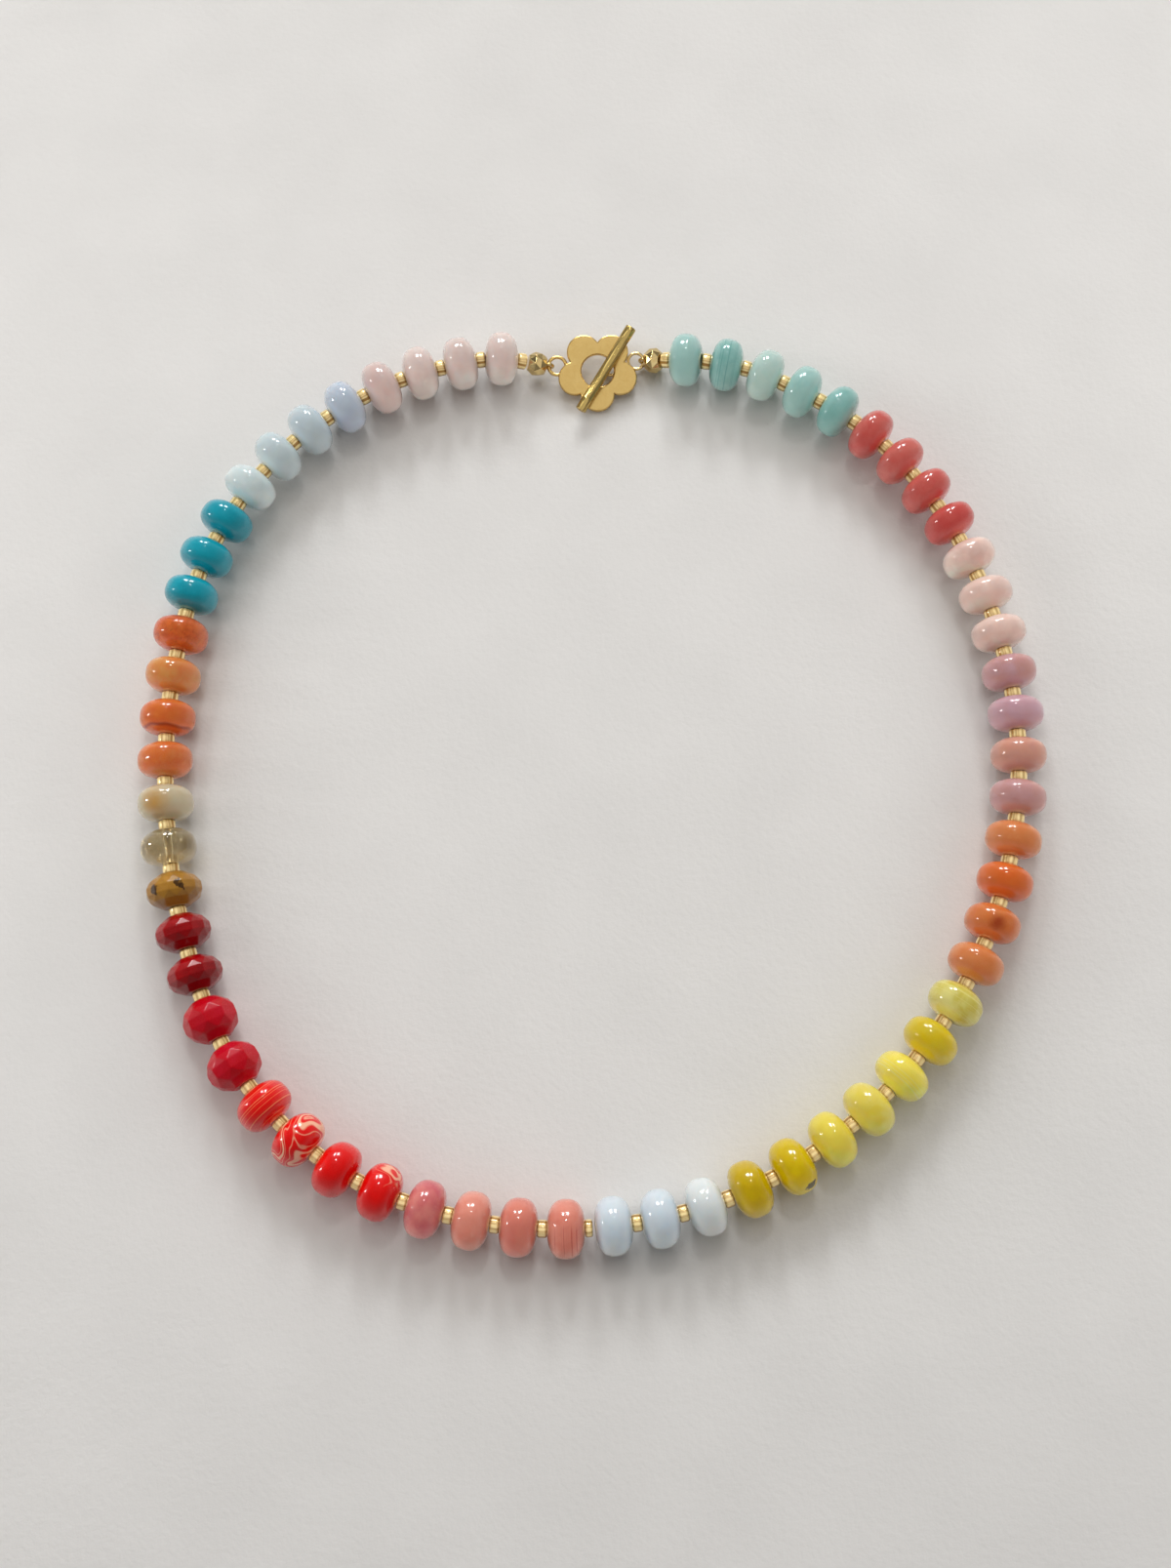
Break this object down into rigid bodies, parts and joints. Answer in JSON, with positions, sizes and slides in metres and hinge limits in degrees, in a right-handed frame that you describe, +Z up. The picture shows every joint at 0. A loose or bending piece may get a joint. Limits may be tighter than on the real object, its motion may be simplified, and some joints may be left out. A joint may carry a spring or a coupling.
{
  "type": "beaded necklace",
  "caption": "Whole loop of round and faceted stone rondelles with gold-lined seed beads between them, closed by a flower ring and toggle bar clasp.",
  "frame": {"origin": "on the table, under the middle of the necklace's outline, as it lies flat", "axes": "+Z up from the table; +Y toward the clasp; +X to the right, seen from above with the clasp at the top"},
  "size_m": [0.1296, 0.1358, 0.0081],
  "materials": {
    "string_left_stones": "polished",
    "string_right_stones": "polished",
    "gold_end_left": "polished facets",
    "gold_end_right": "polished facets",
    "gold_wire": "polished",
    "gold_plate": "satin with polished edge",
    "gold_bar": "polished"
  },
  "bodies": {
    "root": {"bead_string_left": "string_left_stones", "bead_string_right": "string_right_stones", "end_bead_left": "gold_end_left", "end_bead_right": "gold_end_right", "wire_loop_left": "gold_wire", "wire_loop_right": "gold_wire", "clasp_link": "gold_wire", "flower_ring": "gold_plate", "toggle_bar": "gold_bar"}
  },
  "joints": []
}
